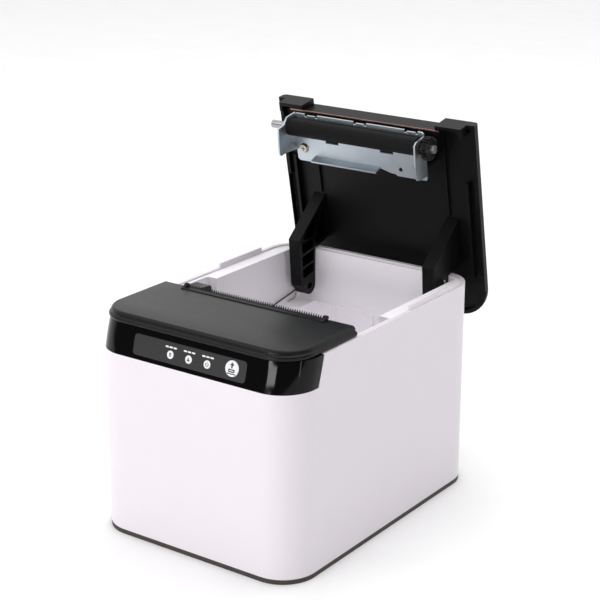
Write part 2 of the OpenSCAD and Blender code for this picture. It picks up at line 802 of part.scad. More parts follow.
// Side view of the pockets between the arm's ribs
module arm_pockets() {
  polygon([[48, 93.4], [55.2, 92.6], [55.2, 104.2], [50.4, 105.2]]);
  polygon([[56.6, 92.4], [63, 91.7], [63, 102.7], [56.6, 104]]);
  polygon([[64.4, 91.5], [70, 90.9], [70, 101.3], [64.4, 102.4]]);
  polygon([[46.8, 94.6], [49.2, 106.4], [38.4, 113], [36.6, 111.6]]);
  polygon([[39, 114.2], [53.9, 106.6], [54, 119.6], [36.6, 119.6]]);
}

module arm(side) {
  x0 = side < 0 ? -arm_out : arm_in;
  x1 = side < 0 ? -arm_in : arm_out;
  web = 1.8;
  color("#141416") opened() difference() {
    side_slab(x0, x1) arm_outline();
    side_slab(side < 0 ? x0 + web : x0 - 1, side < 0 ? x1 + 1 : x1 - web) arm_pockets();
    rod(x0 - 1, x1 + 1, hinge_y, hinge_z, 2 + run);
  }
}

// Copper strip along the lower face of the lid's front wall
module static_strip() {
  half = 49.4;
  color("#b98a7c") opened()
    span([roller_mid - half, -lid_front + 2.5, nose_z - 0.4], [roller_mid + half, -lid_front + 3.1, nose_z]);
}

// Side views of the ears of the roller bracket, lid shut
module left_ear() {
  polygon([[-28.4, plate_z + plate_t], [-28.4, 98.6], [-27, 96.8], [-25, 95.2], [-24.5, 89.6], [-17.1, 88.5],
    [-10, 88], [-8.4, 89], [-8.6, 92.8], [-7.2, 101], [-6.4, plate_z], [-6.4, plate_z + plate_t]]);
}

module right_ear() {
  polygon([[-26, plate_z + plate_t], [-25.7, 98], [-24.2, 96], [-12.1, 95], [-5.8, 95.1], [-3.9, 96.4],
    [-3, 99.5], [-2.6, plate_z], [-2.6, plate_z + plate_t]]);
}

// Plan of the bracket's plate, rear edge stepped beside the flange
module bracket_plan() {
  side = ear_x + plate_t;
  flange_y = -2.7;
  difference() {
    translate([roller_mid, -13.9]) round_rect(2 * side, 29, 2.2);
    translate([-34.4, flange_y]) square([45.6, 10]);
    polygon([[11, flange_y], [17.5, -0.9], [20, -0.9], [21.2, 0.1], [50, 0.1], [50, 10], [11, 10]]);
    // window for the roller, with two notches in its rear edge
    translate([roller_mid - 42.1, platen_y - 3.4]) square([84.2, 6.8]);
    for (x = [-25.4, 11]) translate([x, platen_y + 3]) square([8.7, 6.5]);
    // notches in the front edge, each with a tab in it
    for (x = [-34, -1, 32.4]) {
      translate([x - 4.3, -28.5]) square([8.6, 0.8]);
      for (s = [-1, 1]) translate([x + s * 3.5 - 0.8, -28.5]) square([1.6, 1.8]);
    }
    for (x = bracket_posts) translate([x, post_y]) circle(1.3);
    translate([23.8, -4.1]) circle(1.2);
  }
}

module platen_bracket() {
  left = roller_mid - ear_x - plate_t;
  right = roller_mid + ear_x;
  color("#b4bcc4") opened() difference() {
    union() {
      translate([0, 0, plate_z]) linear_extrude(plate_t) bracket_plan();
      side_slab(left, left + plate_t) left_ear();
      side_slab(right, right + plate_t) right_ear();
      // flange bent down along the rear edge
      side_slab(-33.4, 10.4) polygon([[-3.9, plate_z + 0.2], [-2.5, 100.4], [-1.5, 100.6],
        [-2.6, plate_z + 0.6], [-2.9, plate_z + plate_t], [-3.9, plate_z + plate_t]]);
    }
    for (x = [left, right]) rod(x - 1, x + 2, platen_y, platen_z, bush_r);
  }
}

module bracket_screws() {
  color("#c9c2ae") opened() for (x = bracket_posts)
    translate([x, post_y, plate_z]) rotate([180, 0, 0]) screw(3, 1.5, 1.15, 8);
}

// Bushes in the ears, each with a collar outside
module platen_bushes() {
  collar_r = 4.4;
  collar_w = 1.5;
  color("#1a1a1c") opened() for (s = [-1, 1]) difference() {
    translate([roller_mid + s * (ear_x + plate_t + gap), 0, 0]) {
      rod(s < 0 ? -collar_w : 0, s < 0 ? 0 : collar_w, platen_y, platen_z, collar_r);
      rod(s < 0 ? -tiny : -plate_t - gap, s < 0 ? plate_t + gap : tiny, platen_y, platen_z, bush_r);
    }
    rod(-60, 60, platen_y, platen_z, shaft_r + run);
  }
}

module platen_shaft() {
  color("#c9ccd0") opened() rod(-57.4, mech_right + mech_t - 0.3, platen_y, platen_z, shaft_r);
}

module platen_rubber() {
  color("#1b1b1d") opened() difference() {
    rod(roller_mid - rubber_x, roller_mid + rubber_x, platen_y, platen_z, rubber_r);
    rod(-big, big, platen_y, platen_z, shaft_r);
  }
}

module platen_gear() {
  color("#1a1a1c") opened()
    gear(platen_teeth, idler_to_platen + 180 + 180 / platen_teeth, platen_y, platen_z, shaft_r);
}

base_plate();
main_shell();
inner_frame();
front_bezel();
panel_label();
indicator_lamps();
feed_button();
button_switch();
panel_board();
front_cover();
tear_bar();
mech_frame();
mech_side(mech_left);  // mech_side_left
mech_side(mech_right);  // mech_side_right
thermal_head();
heat_sink();
head_pin();
head_springs();
stepper_motor();
motor_shaft();
motor_pinion();
idler_axle();
idler_gear();
release_lever();
lever_pin();
paper_sensor();
main_board();
head_cable();
port_plate();
power_socket();
usb_socket();
drawer_socket();
switch_housing();
power_rocker();
rubber_feet();
base_screws();
frame_screws();
hinge_pins();
hinge_springs();
earth_wire();
lid();
arm(-1);  // arm_left
arm(1);  // arm_right
static_strip();
platen_bracket();
bracket_screws();
platen_bushes();
platen_shaft();
platen_rubber();
platen_gear();
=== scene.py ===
"""Looks of the desktop receipt printer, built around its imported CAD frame."""
import math

import bmesh
import bpy
from mathutils import Matrix, Vector


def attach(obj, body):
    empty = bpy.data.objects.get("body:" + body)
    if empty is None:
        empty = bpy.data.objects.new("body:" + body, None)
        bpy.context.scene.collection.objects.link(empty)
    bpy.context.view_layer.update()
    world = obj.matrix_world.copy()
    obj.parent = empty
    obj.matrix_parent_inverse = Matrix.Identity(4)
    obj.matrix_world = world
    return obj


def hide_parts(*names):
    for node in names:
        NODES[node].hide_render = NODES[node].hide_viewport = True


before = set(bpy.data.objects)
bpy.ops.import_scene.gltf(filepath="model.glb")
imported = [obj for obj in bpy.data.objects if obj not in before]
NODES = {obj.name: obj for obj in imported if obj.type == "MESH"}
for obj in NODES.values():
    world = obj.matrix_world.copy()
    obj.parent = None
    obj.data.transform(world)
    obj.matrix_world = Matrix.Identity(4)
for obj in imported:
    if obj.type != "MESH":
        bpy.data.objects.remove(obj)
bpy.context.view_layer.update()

MM = 0.001

# ---------------------------------------------------------------- camera

CAMERA_PLACE = (0.4967, -0.6851, 0.4031)
CAMERA_AZIMUTH = 35.592
CAMERA_ELEVATION = 18.709
CAMERA_ROLL = 0.128
CAMERA_LENS = 99.7
CAMERA_FILM = 36
CAMERA_NEAR = 0.01


def make_camera():
    """Camera in metres and degrees, with its slight roll about the line of sight."""
    az, el, roll = (math.radians(a) for a in (CAMERA_AZIMUTH, CAMERA_ELEVATION, CAMERA_ROLL))
    back = Vector((math.sin(az) * math.cos(el), -math.cos(az) * math.cos(el), math.sin(el)))
    right = Vector((math.cos(az), math.sin(az), 0))
    up = back.cross(right)
    turned = math.cos(roll) * right + math.sin(roll) * up
    up = math.cos(roll) * up - math.sin(roll) * right
    data = bpy.data.cameras.new("camera")
    data.lens = CAMERA_LENS
    data.sensor_width = CAMERA_FILM
    data.clip_start = CAMERA_NEAR
    camera = bpy.data.objects.new("camera", data)
    bpy.context.scene.collection.objects.link(camera)
    camera.matrix_world = Matrix((turned, up, back)).transposed().to_4x4()
    camera.location = CAMERA_PLACE
    bpy.context.scene.camera = camera


# ---------------------------------------------------------------- shading tools

def srgb(red, green, blue):
    """Linear colour from 8-bit display values."""
    def linear(c):
        c /= 255
        return c / 12.92 if c <= 0.04045 else ((c + 0.055) / 1.055) ** 2.4
    return (linear(red), linear(green), linear(blue), 1)


class Shader:
    """A material under construction: its node tree and its Principled shader."""

    def __init__(self, name):
        self.material = bpy.data.materials.new(name)
        self.material.use_nodes = True
        self.tree = self.material.node_tree
        self.bsdf = self.tree.nodes["Principled BSDF"]
        self.place = self.add("ShaderNodeTexCoord").outputs["Object"]

    def add(self, kind, **values):
        """A new node of a kind, with these settings."""
        node = self.tree.nodes.new(kind)
        for key, value in values.items():
            setattr(node, key, value)
        return node

    def join(self, source, target):
        """Links an output socket to an input socket."""
        self.tree.links.new(source, target)

    def set(self, **values):
        """Sets plain values of the surface; underscores stand for spaces in the names."""
        for key, value in values.items():
            self.bsdf.inputs[key.replace("_", " ")].default_value = value

    def stretched(self, x, y, z):
        """Object coordinates scaled along each axis."""
        node = self.add("ShaderNodeMapping")
        node.inputs["Scale"].default_value = (x, y, z)
        self.join(self.place, node.inputs["Vector"])
        return node.outputs["Vector"]

    def noise(self, size, detail=3, rough=0.55, place=None):
        """Noise whose blotches are about size metres across."""
        node = self.add("ShaderNodeTexNoise")
        node.inputs["Scale"].default_value = 1 / size
        node.inputs["Detail"].default_value = detail
        node.inputs["Roughness"].default_value = rough
        self.join(place or self.place, node.inputs["Vector"])
        return node.outputs["Fac"]

    def spread(self, factor, low, high, start=0.3, end=0.7):
        """Factor from start to end turned into values from low to high."""
        node = self.add("ShaderNodeMapRange")
        node.inputs["From Min"].default_value = start
        node.inputs["From Max"].default_value = end
        node.inputs["To Min"].default_value = low
        node.inputs["To Max"].default_value = high
        self.join(factor, node.inputs["Value"])
        return node.outputs["Result"]

    def mix(self, factor, first, second):
        """Blend of two colours; each is a colour or a socket."""
        node = self.add("ShaderNodeMix", data_type="RGBA")
        self.join(factor, node.inputs[0])
        for value, socket in ((first, node.inputs[6]), (second, node.inputs[7])):
            if isinstance(value, bpy.types.NodeSocket):
                self.join(value, socket)
            else:
                socket.default_value = value
        return node.outputs[2]

    def bump(self, height, depth):
        """Normal of a surface raised by height times depth metres."""
        node = self.add("ShaderNodeBump")
        node.inputs["Strength"].default_value = 1
        node.inputs["Distance"].default_value = depth
        self.join(height, node.inputs["Height"])
        return node.outputs["Normal"]

    def edges(self, radius):
        """1 along sharp edges, 0 on open faces."""
        soft = self.add("ShaderNodeBevel", samples=4)
        soft.inputs["Radius"].default_value = radius
        true = self.add("ShaderNodeNewGeometry")
        dot = self.add("ShaderNodeVectorMath", operation="DOT_PRODUCT")
        self.join(soft.outputs["Normal"], dot.inputs[0])
        self.join(true.outputs["Normal"], dot.inputs[1])
        return self.spread(dot.outputs["Value"], 1, 0, 0.8, 0.99)

    def paint(self, colour, rough, normal=None):
        """Joins the sockets to the surface and hands back the finished material."""
        self.join(colour, self.bsdf.inputs["Base Color"])
        self.join(rough, self.bsdf.inputs["Roughness"])
        if normal is not None:
            self.join(normal, self.bsdf.inputs["Normal"])
        return self.material


def shade(colour, factor):
    """Colour made darker or lighter by a factor, with its alpha kept at 1."""
    return tuple(c * factor for c in colour[:3]) + (1,)


def plastic(slot, colour, rough, grain=0.35, depth=0.004, worn=0.0, mottled=0.035, **settings):
    """Moulded plastic: fine eroded grain, faint mottling and paler edges; grain and depth in mm."""
    blotch, edge_w, wear_patch, gloss_patch = 18, 0.35, 6, 4
    s = Shader(slot)
    s.set(**settings)
    base = s.mix(s.spread(s.noise(blotch * MM, 4), 0, 1), shade(colour, 1 - mottled), colour)
    if worn:
        broken = s.add("ShaderNodeMath", operation="MULTIPLY")
        s.join(s.edges(edge_w * MM), broken.inputs[0])
        s.join(s.spread(s.noise(wear_patch * MM, 5), 0, worn, 0.4, 0.65), broken.inputs[1])
        pale = tuple(min(1, 0.12 + 1.5 * c) for c in colour[:3]) + (1,)
        base = s.mix(broken.outputs[0], base, pale)
    fine = s.noise(grain * MM, 2, 0.7)
    gloss = s.spread(s.noise(gloss_patch * MM, 4), rough - 0.02, rough + 0.02)
    return s.paint(base, gloss, s.bump(fine, depth * MM))


def metal(slot, colour, rough, brushed=(1, 1, 1), stain=0.9):
    """Metal with drawn or rolled streaks, which run along the axis where brushed is least."""
    scratch, depth, cloud = 0.3, 0.002, 9
    s = Shader(slot)
    s.set(Metallic=1.0)
    streaks = s.noise(scratch * MM, 4, 0.6, s.stretched(*brushed))
    base = s.mix(s.spread(s.noise(cloud * MM, 4), 0, 1), shade(colour, stain), colour)
    gloss = s.spread(streaks, rough - 0.08, rough + 0.1)
    return s.paint(base, gloss, s.bump(streaks, depth * MM))


MATERIALS = {}


def add_material(kind, slot, colour, *values, **settings):
    """Makes the material of a slot, of plastic or metal, from a colour in 8-bit display values."""
    MATERIALS[slot] = kind(slot, srgb(*colour), *values, **settings)


def make_materials():
    """A material for each slot, which the carried-over nodes then wear too."""
    add_material(plastic, "white_shell", (233, 227, 233), 0.42, 0.4, 0.003, mottled=0.01)
    # the frame's white is paler than the shell's and glows faintly: painted light that brightens its walls
    # where they stand in shade
    add_material(plastic, "white_frame", (245, 241, 246), 0.42, 0.4, 0.003, mottled=0.01,
                 Emission_Color=(0.95, 0.93, 0.96, 1), Emission_Strength=0.08)
    add_material(plastic, "base_dark", (58, 50, 47), 0.55, 0.3, 0.006, 0.3)
    add_material(plastic, "gloss_black", (9, 9, 10), 0.07, 1.2, 0.0004, Specular_IOR_Level=0.2)
    add_material(plastic, "label_grey", (44, 43, 45), 0.42, 0.12, 0.002, Specular_IOR_Level=0.35)
    add_material(plastic, "lamp_white", (240, 240, 242), 0.3, 0.5, 0.001)
    add_material(plastic, "button_white", (238, 238, 240), 0.35, 0.4, 0.002)
    add_material(plastic, "switch_dark", (40, 42, 46), 0.45)
    add_material(plastic, "board_green", (36, 84, 52), 0.3)
    add_material(plastic, "cover_grey", (17, 17, 18), 0.3, 0.28, 0.0015, Specular_IOR_Level=0.21)
    add_material(plastic, "cutter_black", (12, 12, 13), 0.38, 0.3, 0.004, 0.15, Specular_IOR_Level=0.15)
    add_material(plastic, "mech_black", (26, 26, 28), 0.5, 0.3, 0.006, 0.2)
    add_material(plastic, "ceramic", (214, 208, 196), 0.3)
    add_material(metal, "aluminium", (190, 192, 196), 0.35, (0.04, 1, 1))
    add_material(metal, "bright_steel", (176, 176, 179), 0.28, (1, 0.1, 1))
    add_material(metal, "spring_steel", (214, 208, 200), 0.3)
    add_material(metal, "motor_can", (160, 162, 166), 0.35, (1, 0.1, 0.1))
    add_material(metal, "brass", (206, 170, 96), 0.3)
    add_material(plastic, "gear_white", (226, 222, 210), 0.4)
    add_material(plastic, "gear_black", (14, 14, 15), 0.42, 0.3, 0.003, 0.1, Specular_IOR_Level=0.25)
    add_material(plastic, "lever_black", (10, 10, 11), 0.33, 0.4, 0.004, 0.2, Specular_IOR_Level=0.3)
    add_material(plastic, "flat_cable", (228, 222, 204), 0.35)
    add_material(plastic, "port_grey", (58, 58, 60), 0.5)
    add_material(plastic, "socket_black", (28, 28, 30), 0.4)
    add_material(plastic, "rocker_black", (34, 34, 36), 0.3)
    add_material(plastic, "foot_rubber", (28, 28, 28), 0.75, 0.4, 0.02)
    add_material(metal, "screw_steel", (196, 190, 176), 0.3)
    add_material(plastic, "wire_dark", (44, 44, 46), 0.45)
    add_material(plastic, "lid_black", (12, 12, 13), 0.4, 0.3, 0.006, 0.1, Specular_IOR_Level=0.15)
    add_material(metal, "copper_strip", (186, 146, 130), 0.4, (0.05, 1, 1))
    add_material(metal, "zinc_sheet", (192, 200, 207), 0.4, (0.1, 1, 1), stain=0.93)
    add_material(plastic, "platen_rubber", (16, 16, 17), 0.7, 0.2, 0.02, Specular_IOR_Level=0.15)
    for node in NODES.values():
        for holder in node.material_slots:
            holder.material = MATERIALS[holder.material.name.split(".")[0]]


# ---------------------------------------------------------------- sizes, in mm

# casing: half width and half depth, corner radius, rim and top of the front cover
HALF_W = 65
HALF_D = 88.4
CORNER_R = 19.6
RIM_Z = 118.2
TOP_Z = 123.6

# gloss band: its lower edge, how far it leans back over its height, and what shows on it
BAND_Z = 102.2
BAND_LEAN = 4.4
BAND_H = RIM_Z - BAND_Z
BAND_TILT = math.atan2(BAND_LEAN, BAND_H)
CROWN = 0.22
PANEL_MID = 7.8
LAMP_XS = (-11.8, 0, 11.8)
LAMP_UP = 6.9
LAMP_R = 2.15
BUTTON_X = 27.4
BUTTON_UP = 8.2
BUTTON_R = 4.1

# front cover and the recess for the tear bar
COVER_BACK = -30.8
COVER_SETBACK = 2
COVER_T = 2.2
BAR_SINK = 1.2

# lid hinge: its axis, and the angle that the lid stands open at rest
HINGE = (0, 77.1, 96.2)
OPEN_ANGLE = math.radians(78.9)

# rear sockets: front face of the port plate, and top of the main board
PORT_FACE = HALF_D - 2.4
BOARD_TOP = 12


# ---------------------------------------------------------------- mesh tools

def piece(name, build, slot, body, replaces=(), smooth=True):
    """A piece that rides on a body and takes a slot's finish, its mesh filled in by build."""
    mesh = mesh_of(name, build)
    obj = bpy.data.objects.new(name, mesh)
    bpy.context.scene.collection.objects.link(obj)
    mesh.materials.append(MATERIALS[slot])
    if smooth:
        mesh.shade_smooth()
    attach(obj, body)
    if replaces:
        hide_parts(*replaces)
    return obj


def mesh_of(name, build):
    """Mesh made by a function that fills a bmesh in millimetres."""
    bm = bmesh.new()
    build(bm)
    bmesh.ops.remove_doubles(bm, verts=bm.verts, dist=1e-5)
    bmesh.ops.recalc_face_normals(bm, faces=bm.faces)
    bmesh.ops.scale(bm, vec=(MM, MM, MM), verts=bm.verts)
    mesh = bpy.data.meshes.new(name)
    bm.to_mesh(mesh)
    bm.free()
    return mesh


def add_rings(bm, rings):
    """Closed skin over rings of points, with a cap on the first ring and on the last."""
    rows = [[bm.verts.new(p) for p in ring] for ring in rings]
    count = len(rows[0])
    for low, high in zip(rows, rows[1:]):
        for i in range(count):
            j = (i + 1) % count
            bm.faces.new((low[i], low[j], high[j], high[i]))
    bm.faces.new(rows[0][::-1])
    bm.faces.new(rows[-1])


def arc(cx, cy, r, start, end, steps):
    """Points of an arc, angles in degrees."""
    out = []
    for i in range(steps + 1):
        a = math.radians(start + (end - start) * i / steps)
        out.append((cx + r * math.cos(a), cy + r * math.sin(a)))
    return out


def opened(x, y, z):
    """A point of the shut lid, turned open about the hinge."""
    c, s = math.cos(OPEN_ANGLE), math.sin(OPEN_ANGLE)
    dy, dz = y - HINGE[1], z - HINGE[2]
    return (x, HINGE[1] + dy * c + dz * s, HINGE[2] - dy * s + dz * c)


def on_band(x, up, out=0.0):
    """A point on the sloping band: x along it, up its slope, out of its surface."""
    c, s = math.cos(BAND_TILT), math.sin(BAND_TILT)
    return (x, -HALF_D + up * s - out * c, BAND_Z + up * c + out * s)


def tube_rings(path, radius, sides):
    """Rings of a round tube along a path of points, in mm."""
    points = [Vector(p) for p in path]
    rings = []
    normal = None
    for i, p in enumerate(points):
        ahead = points[min(i + 1, len(points) - 1)] - points[max(i - 1, 0)]
        ahead.normalize()
        if normal is None:
            guide = Vector((0, 0, 1)) if abs(ahead.z) < 0.9 else Vector((1, 0, 0))
            normal = ahead.cross(guide).normalized()
        normal = (normal - ahead * normal.dot(ahead)).normalized()
        other = ahead.cross(normal)
        rings.append([p + radius * (math.cos(a) * normal + math.sin(a) * other)
                      for a in (2 * math.pi * k / sides for k in range(sides))])
    return rings


def smooth_path(points, steps):
    """Catmull-Rom curve through the points."""
    pts = [Vector(p) for p in points]
    pts = [2 * pts[0] - pts[1]] + pts + [2 * pts[-1] - pts[-2]]
    out = []
    for a, b, c, d in zip(pts, pts[1:], pts[2:], pts[3:]):
        for k in range(steps):
            t = k / steps
            out.append(0.5 * (2 * b + (c - a) * t + (2 * a - 5 * b + 4 * c - d) * t * t
                              + (3 * b - a - 3 * c + d) * t ** 3))
    return out + [pts[-2]]


def round_corners(outline, steps=6):
    """Polygon with each corner (x, y, radius) turned into an arc-like curve."""
    out = []
    count = len(outline)
    for i, (x, y, r) in enumerate(outline):
        p = Vector((x, y))
        if r <= 0:
            out.append((x, y))
            continue
        before = (Vector(outline[i - 1][:2]) - p).normalized()
        after = (Vector(outline[(i + 1) % count][:2]) - p).normalized()
        half = before.angle(after) / 2
        reach = r / math.tan(half)
        centre = p + (before + after).normalized() * (r / math.sin(half))
        start, end = p + before * reach, p + after * reach
        a0 = math.atan2(start.y - centre.y, start.x - centre.x)
        a1 = math.atan2(end.y - centre.y, end.x - centre.x)
        while a1 - a0 > math.pi:
            a1 -= 2 * math.pi
        while a1 - a0 < -math.pi:
            a1 += 2 * math.pi
        for k in range(steps + 1):
            a = a0 + (a1 - a0) * k / steps
            out.append((centre.x + r * math.cos(a), centre.y + r * math.sin(a)))
    return out


def circle(cx, cy, r, steps):
    """Points of a full circle."""
    return [(cx + r * math.cos(2 * math.pi * k / steps), cy + r * math.sin(2 * math.pi * k / steps))
            for k in range(steps)]


def add_plate(bm, loops, low, high):
    """Plate on the band, from low to high out of its surface, with an outline and the loops of its holes."""
    rows = {}
    for level in (low, high):
        rings = []
        for points in loops:
            verts = [bm.verts.new(on_band(u, v, level)) for u, v in points]
            edges = [bm.edges.new((verts[i - 1], verts[i])) for i in range(len(verts))]
            rings.append((verts, edges))
        rows[level] = rings
        bmesh.ops.triangle_fill(bm, edges=[e for _, edges in rings for e in edges], use_beauty=True)
    for (under, _), (over, _) in zip(rows[low], rows[high]):
        for i in range(len(under)):
            bm.faces.new((under[i - 1], under[i], over[i], over[i - 1]))


def bevelled(obj, width, segments=2, angle=32):
    """Rounds the edges sharper than angle degrees, width in mm."""
    mod = obj.modifiers.new("edge", "BEVEL")
    mod.width = width * MM
    mod.segments = segments
    mod.limit_method = "ANGLE"
    mod.angle_limit = math.radians(angle)
    mod.harden_normals = True


def cut(obj, name, build):
    """Cuts the closed mesh that build makes out of obj."""
    tool = bpy.data.objects.new(name, mesh_of(name, build))
    bpy.context.scene.collection.objects.link(tool)
    mod = obj.modifiers.new(name, "BOOLEAN")
    mod.operation = "DIFFERENCE"
    mod.solver = "EXACT"
    mod.object = tool
    bpy.context.view_layer.update()
    depsgraph = bpy.context.evaluated_depsgraph_get()
    mesh = bpy.data.meshes.new_from_object(obj.evaluated_get(depsgraph))
    obj.modifiers.clear()
    obj.data = mesh
    bpy.data.objects.remove(tool)


def add_box(bm, low, high):
    """Box between two opposite corners."""
    (x0, y0, z0), (x1, y1, z1) = low, high
    ring = ((x0, y0), (x1, y0), (x1, y1), (x0, y1))
    add_rings(bm, [[(x, y, z) for x, y in ring] for z in (z0, z1)])


# ---------------------------------------------------------------- CAD nodes

# widths of the bevels on the nodes that are shown as they are
SOFT_EDGES = {
    "main_shell": 0.35, "inner_frame": 0.4, "base_plate": 0.25, "port_plate": 0.2, "power_rocker": 0.3,
    "lid": 0.35, "arm_left": 0.3, "arm_right": 0.3, "release_lever": 0.3, "mech_frame": 0.2,
    "platen_bracket": 0.2, "platen_rubber": 0.25, "platen_shaft": 0.25,
}


def soften_nodes():
    """Rounds the sharp edges of the carried-over nodes."""
    for name, width in SOFT_EDGES.items():
        bevelled(NODES[name], width, angle=30)


# ---------------------------------------------------------------- front cover

def cover_ring(inset, z, back, steps=24):
    """Outline of the cover moved inwards by inset, with its rear edge at back."""
    r = CORNER_R - inset
    x = HALF_W - CORNER_R
    y = -HALF_D + COVER_SETBACK + CORNER_R
    outline = [(-HALF_W + inset, back)] + arc(-x, y, r, 180, 270, steps) + arc(x, y, r, 270, 360, steps)
    return [(px, py, z) for px, py in outline + [(HALF_W - inset, back)]]


def cover_profile():
    """(inset, height) of the cover's edge: a round lip, a shallow groove over it and the rolled top edge."""
    lip_inset, lip_r = 1.1, 1.5
    roll_inset, roll_r = 2.3, 1.9
    lip = arc(lip_inset + lip_r, RIM_Z + lip_r, lip_r, 270, 120, 15)
    groove = [(2.2, RIM_Z + 2.95), (2.42, RIM_Z + 3.12), (2.45, RIM_Z + 3.3)]
    roll = arc(roll_inset + roll_r, TOP_Z - roll_r, roll_r, 180, 90, 9)
    return lip + groove + roll


def make_cover():
    """Hollow cover over the mechanism, with a recess along its rear edge for the tear bar."""
    inner, seam = 4.8, 0.05
    recess_half, recess_deep, clear = 46.5, 5.4, 5

    def build(bm):
        rings = [cover_ring(inner, z, COVER_BACK - COVER_T) for z in (TOP_Z - COVER_T, RIM_Z + seam)]
        rings += [cover_ring(inset, z, COVER_BACK) for inset, z in cover_profile()]
        add_rings(bm, rings)

    def recess(bm):
        add_box(bm, (-recess_half, COVER_BACK - recess_deep, TOP_Z - BAR_SINK),
                (recess_half, COVER_BACK + clear, TOP_Z + clear))

    cover = piece("cover_top", build, "cover_grey", "casing", ["front_cover"])
    cut(cover, "bar_recess", recess)
    bevelled(cover, 0.3, 3, 40)


def make_tear_bar():
    """Bar with saw teeth along its rear edge, which rise a little, and a pointed fin at each end."""
    half, teeth_half, deep = 46.4, 44, 5.3
    count, gap, tooth_rise = 60, 0.02, 1.6
    pitch = 2 * teeth_half / count
    low, top = TOP_Z - BAR_SINK, TOP_Z + 0.5
    fin_w, fin_top = 2.2, TOP_Z + 2.2
    back = COVER_BACK

    def build(bm):
        add_rings(bm, [[(x, back - deep, low), (x, back - 0.5, low), (x, back - 0.5, top - 0.3),
                        (x, back - 1.1, top), (x, back - deep + 0.5, top), (x, back - deep, top - 0.4)]
                       for x in (-half, half)])
        # saw teeth that lean back and up
        for k in range(count):
            x = -teeth_half + k * pitch
            base = [(x + gap, back - 1.3, top - 0.5), (x + pitch - gap, back - 1.3, top - 0.5),
                    (x + pitch - gap, back - 0.6, top - 0.9), (x + gap, back - 0.6, top - 0.9)]
            tip = (x + pitch / 2, back - gap, top + tooth_rise)
            verts = [bm.verts.new(p) for p in base + [tip]]
            bm.faces.new(verts[:4][::-1])
            for i in range(4):
                bm.faces.new((verts[i], verts[(i + 1) % 4], verts[4]))
        fin = [(back - deep, top - 0.1), (back, top - 0.1), (back, fin_top - 0.5), (back - 0.3, fin_top),
               (back - 1.2, fin_top), (back - 3.6, top + 0.3)]
        for x0 in (-half, half - fin_w):
            add_rings(bm, [[(x, y, z) for y, z in fin] for x in (x0, x0 + fin_w)])

    bar = piece("tear_edge", build, "cutter_black", "casing", ["tear_bar"], smooth=False)
    bevelled(bar, 0.08, 2, 40)


# ---------------------------------------------------------------- gloss band

def band_outline(t):
    """(x, y, outward x, outward y) along the band, at a share t of its height."""
    end_low, end_top, taper = -66.1, -61.1, 0.2
    steps, straight, pitch = 26, 42, 6
    y0 = -HALF_D + BAND_LEAN * t + CORNER_R
    end = end_low + (end_top - end_low) * t
    middle = (end + y0) / 2
    side = HALF_W - taper * t
    points = [(-side, end, -1, 0), (-side, middle, -1, 0)]
    for sign, start in ((-1, 180), (1, 270)):
        if sign > 0:
            points += [(x, y0 - CORNER_R, 0, -1) for x in range(-straight, straight + 1, pitch)]
        for ux, uy in arc(0, 0, 1, start, start + 90, steps):
            points.append((sign * (side - CORNER_R) + CORNER_R * ux, y0 + CORNER_R * uy, ux, uy))
    return points + [(side, middle, 1, 0), (side, end, 1, 0)]


def panel_holes(button_steps):
    """Holes for the lamps and the button, a little wider than what sits in them."""
    lamp_gap, button_gap = 0.05, 0.15
    lamps = [circle(x, LAMP_UP, LAMP_R + lamp_gap, 40) for x in LAMP_XS]
    return lamps + [circle(BUTTON_X, BUTTON_UP, BUTTON_R + button_gap, button_steps)]


def make_band():
    """Gloss band in front: a shell with slanted ends, slightly crowned round its corners."""
    rows, thick = 10, 2.2
    crown_from, crown_over = HALF_W - CORNER_R - 1.5, 8

    def build(bm):
        rings = []
        for k in range(rows + 1):
            t = k / rows
            z = BAND_Z + BAND_H * t
            outer, inner = [], []
            for x, y, nx, ny in band_outline(t):
                share = min(1, max(0, (abs(x) - crown_from) / crown_over))
                swell = CROWN * 4 * t * (1 - t) * share * share * (3 - 2 * share)
                outer.append((x + nx * (swell - CROWN), y + ny * swell, z))
                inner.append((x - nx * thick, y - ny * thick, z))
            rings.append(outer + inner[::-1])
        add_rings(bm, rings)

    def holes(bm):
        for hole in panel_holes(40):
            add_rings(bm, [[on_band(u, v, h) for u, v in hole] for h in (-4, 2)])

    band = piece("gloss_band", build, "gloss_black", "casing", ["front_bezel"])
    cut(band, "panel_holes", holes)
    bevelled(band, 0.18, 2, 40)


def flat_piece(name, groups, low, high, slot, body, replaces=()):
    """Thin plates on the band, such as prints or a label, one for each group of loops."""
    def build(bm):
        for loops in groups:
            add_plate(bm, loops, low, high)
    piece(name, build, slot, body, replaces, smooth=False)


def rect(x0, y0, x1, y1, r=0.0):
    """Rectangle with corners rounded by r."""
    return round_corners([(x0, y0, r), (x1, y0, r), (x1, y1, r), (x0, y1, r)])


def make_panel():
    """Grey film over the band, with three short bars over each lamp in place of a caption."""
    half_w, half_h, corner, film_top = 36, 5.5, 2, 0.1
    window = rect(-half_w, PANEL_MID - half_h, half_w, PANEL_MID + half_h, corner)
    film = [[window] + panel_holes(48)]
    flat_piece("panel_film", film, -0.2, film_top, "label_grey", "casing", ["panel_label"])
    bar_half, bar_pitch, bar_corner = 1.05, 2.6, 0.25
    low, high = LAMP_UP + 3.35, LAMP_UP + 4.15
    mids = [x + k * bar_pitch for x in LAMP_XS for k in (-1, 0, 1)]
    bars = [[rect(mid - bar_half, low, mid + bar_half, high, bar_corner)] for mid in mids]
    flat_piece("panel_marks", bars, film_top - 0.02, film_top + 0.04, "lamp_white", "casing")


def add_dome(bm, cx, cy, r, low, high, crown, rings=6, sides=40):
    """Round disc on the band with a rolled edge and a slightly crowned top."""
    roll = 0.25
    flat = r - roll
    levels = [(r, low)] + arc(flat, high - roll, roll, 0, 90, 3)
    levels += [(flat * (1 - k / rings), high + crown * (1 - (1 - k / rings) ** 2)) for k in range(1, rings)]
    add_rings(bm, [[on_band(u, v, h) for u, v in circle(cx, cy, q, sides)] for q, h in levels])


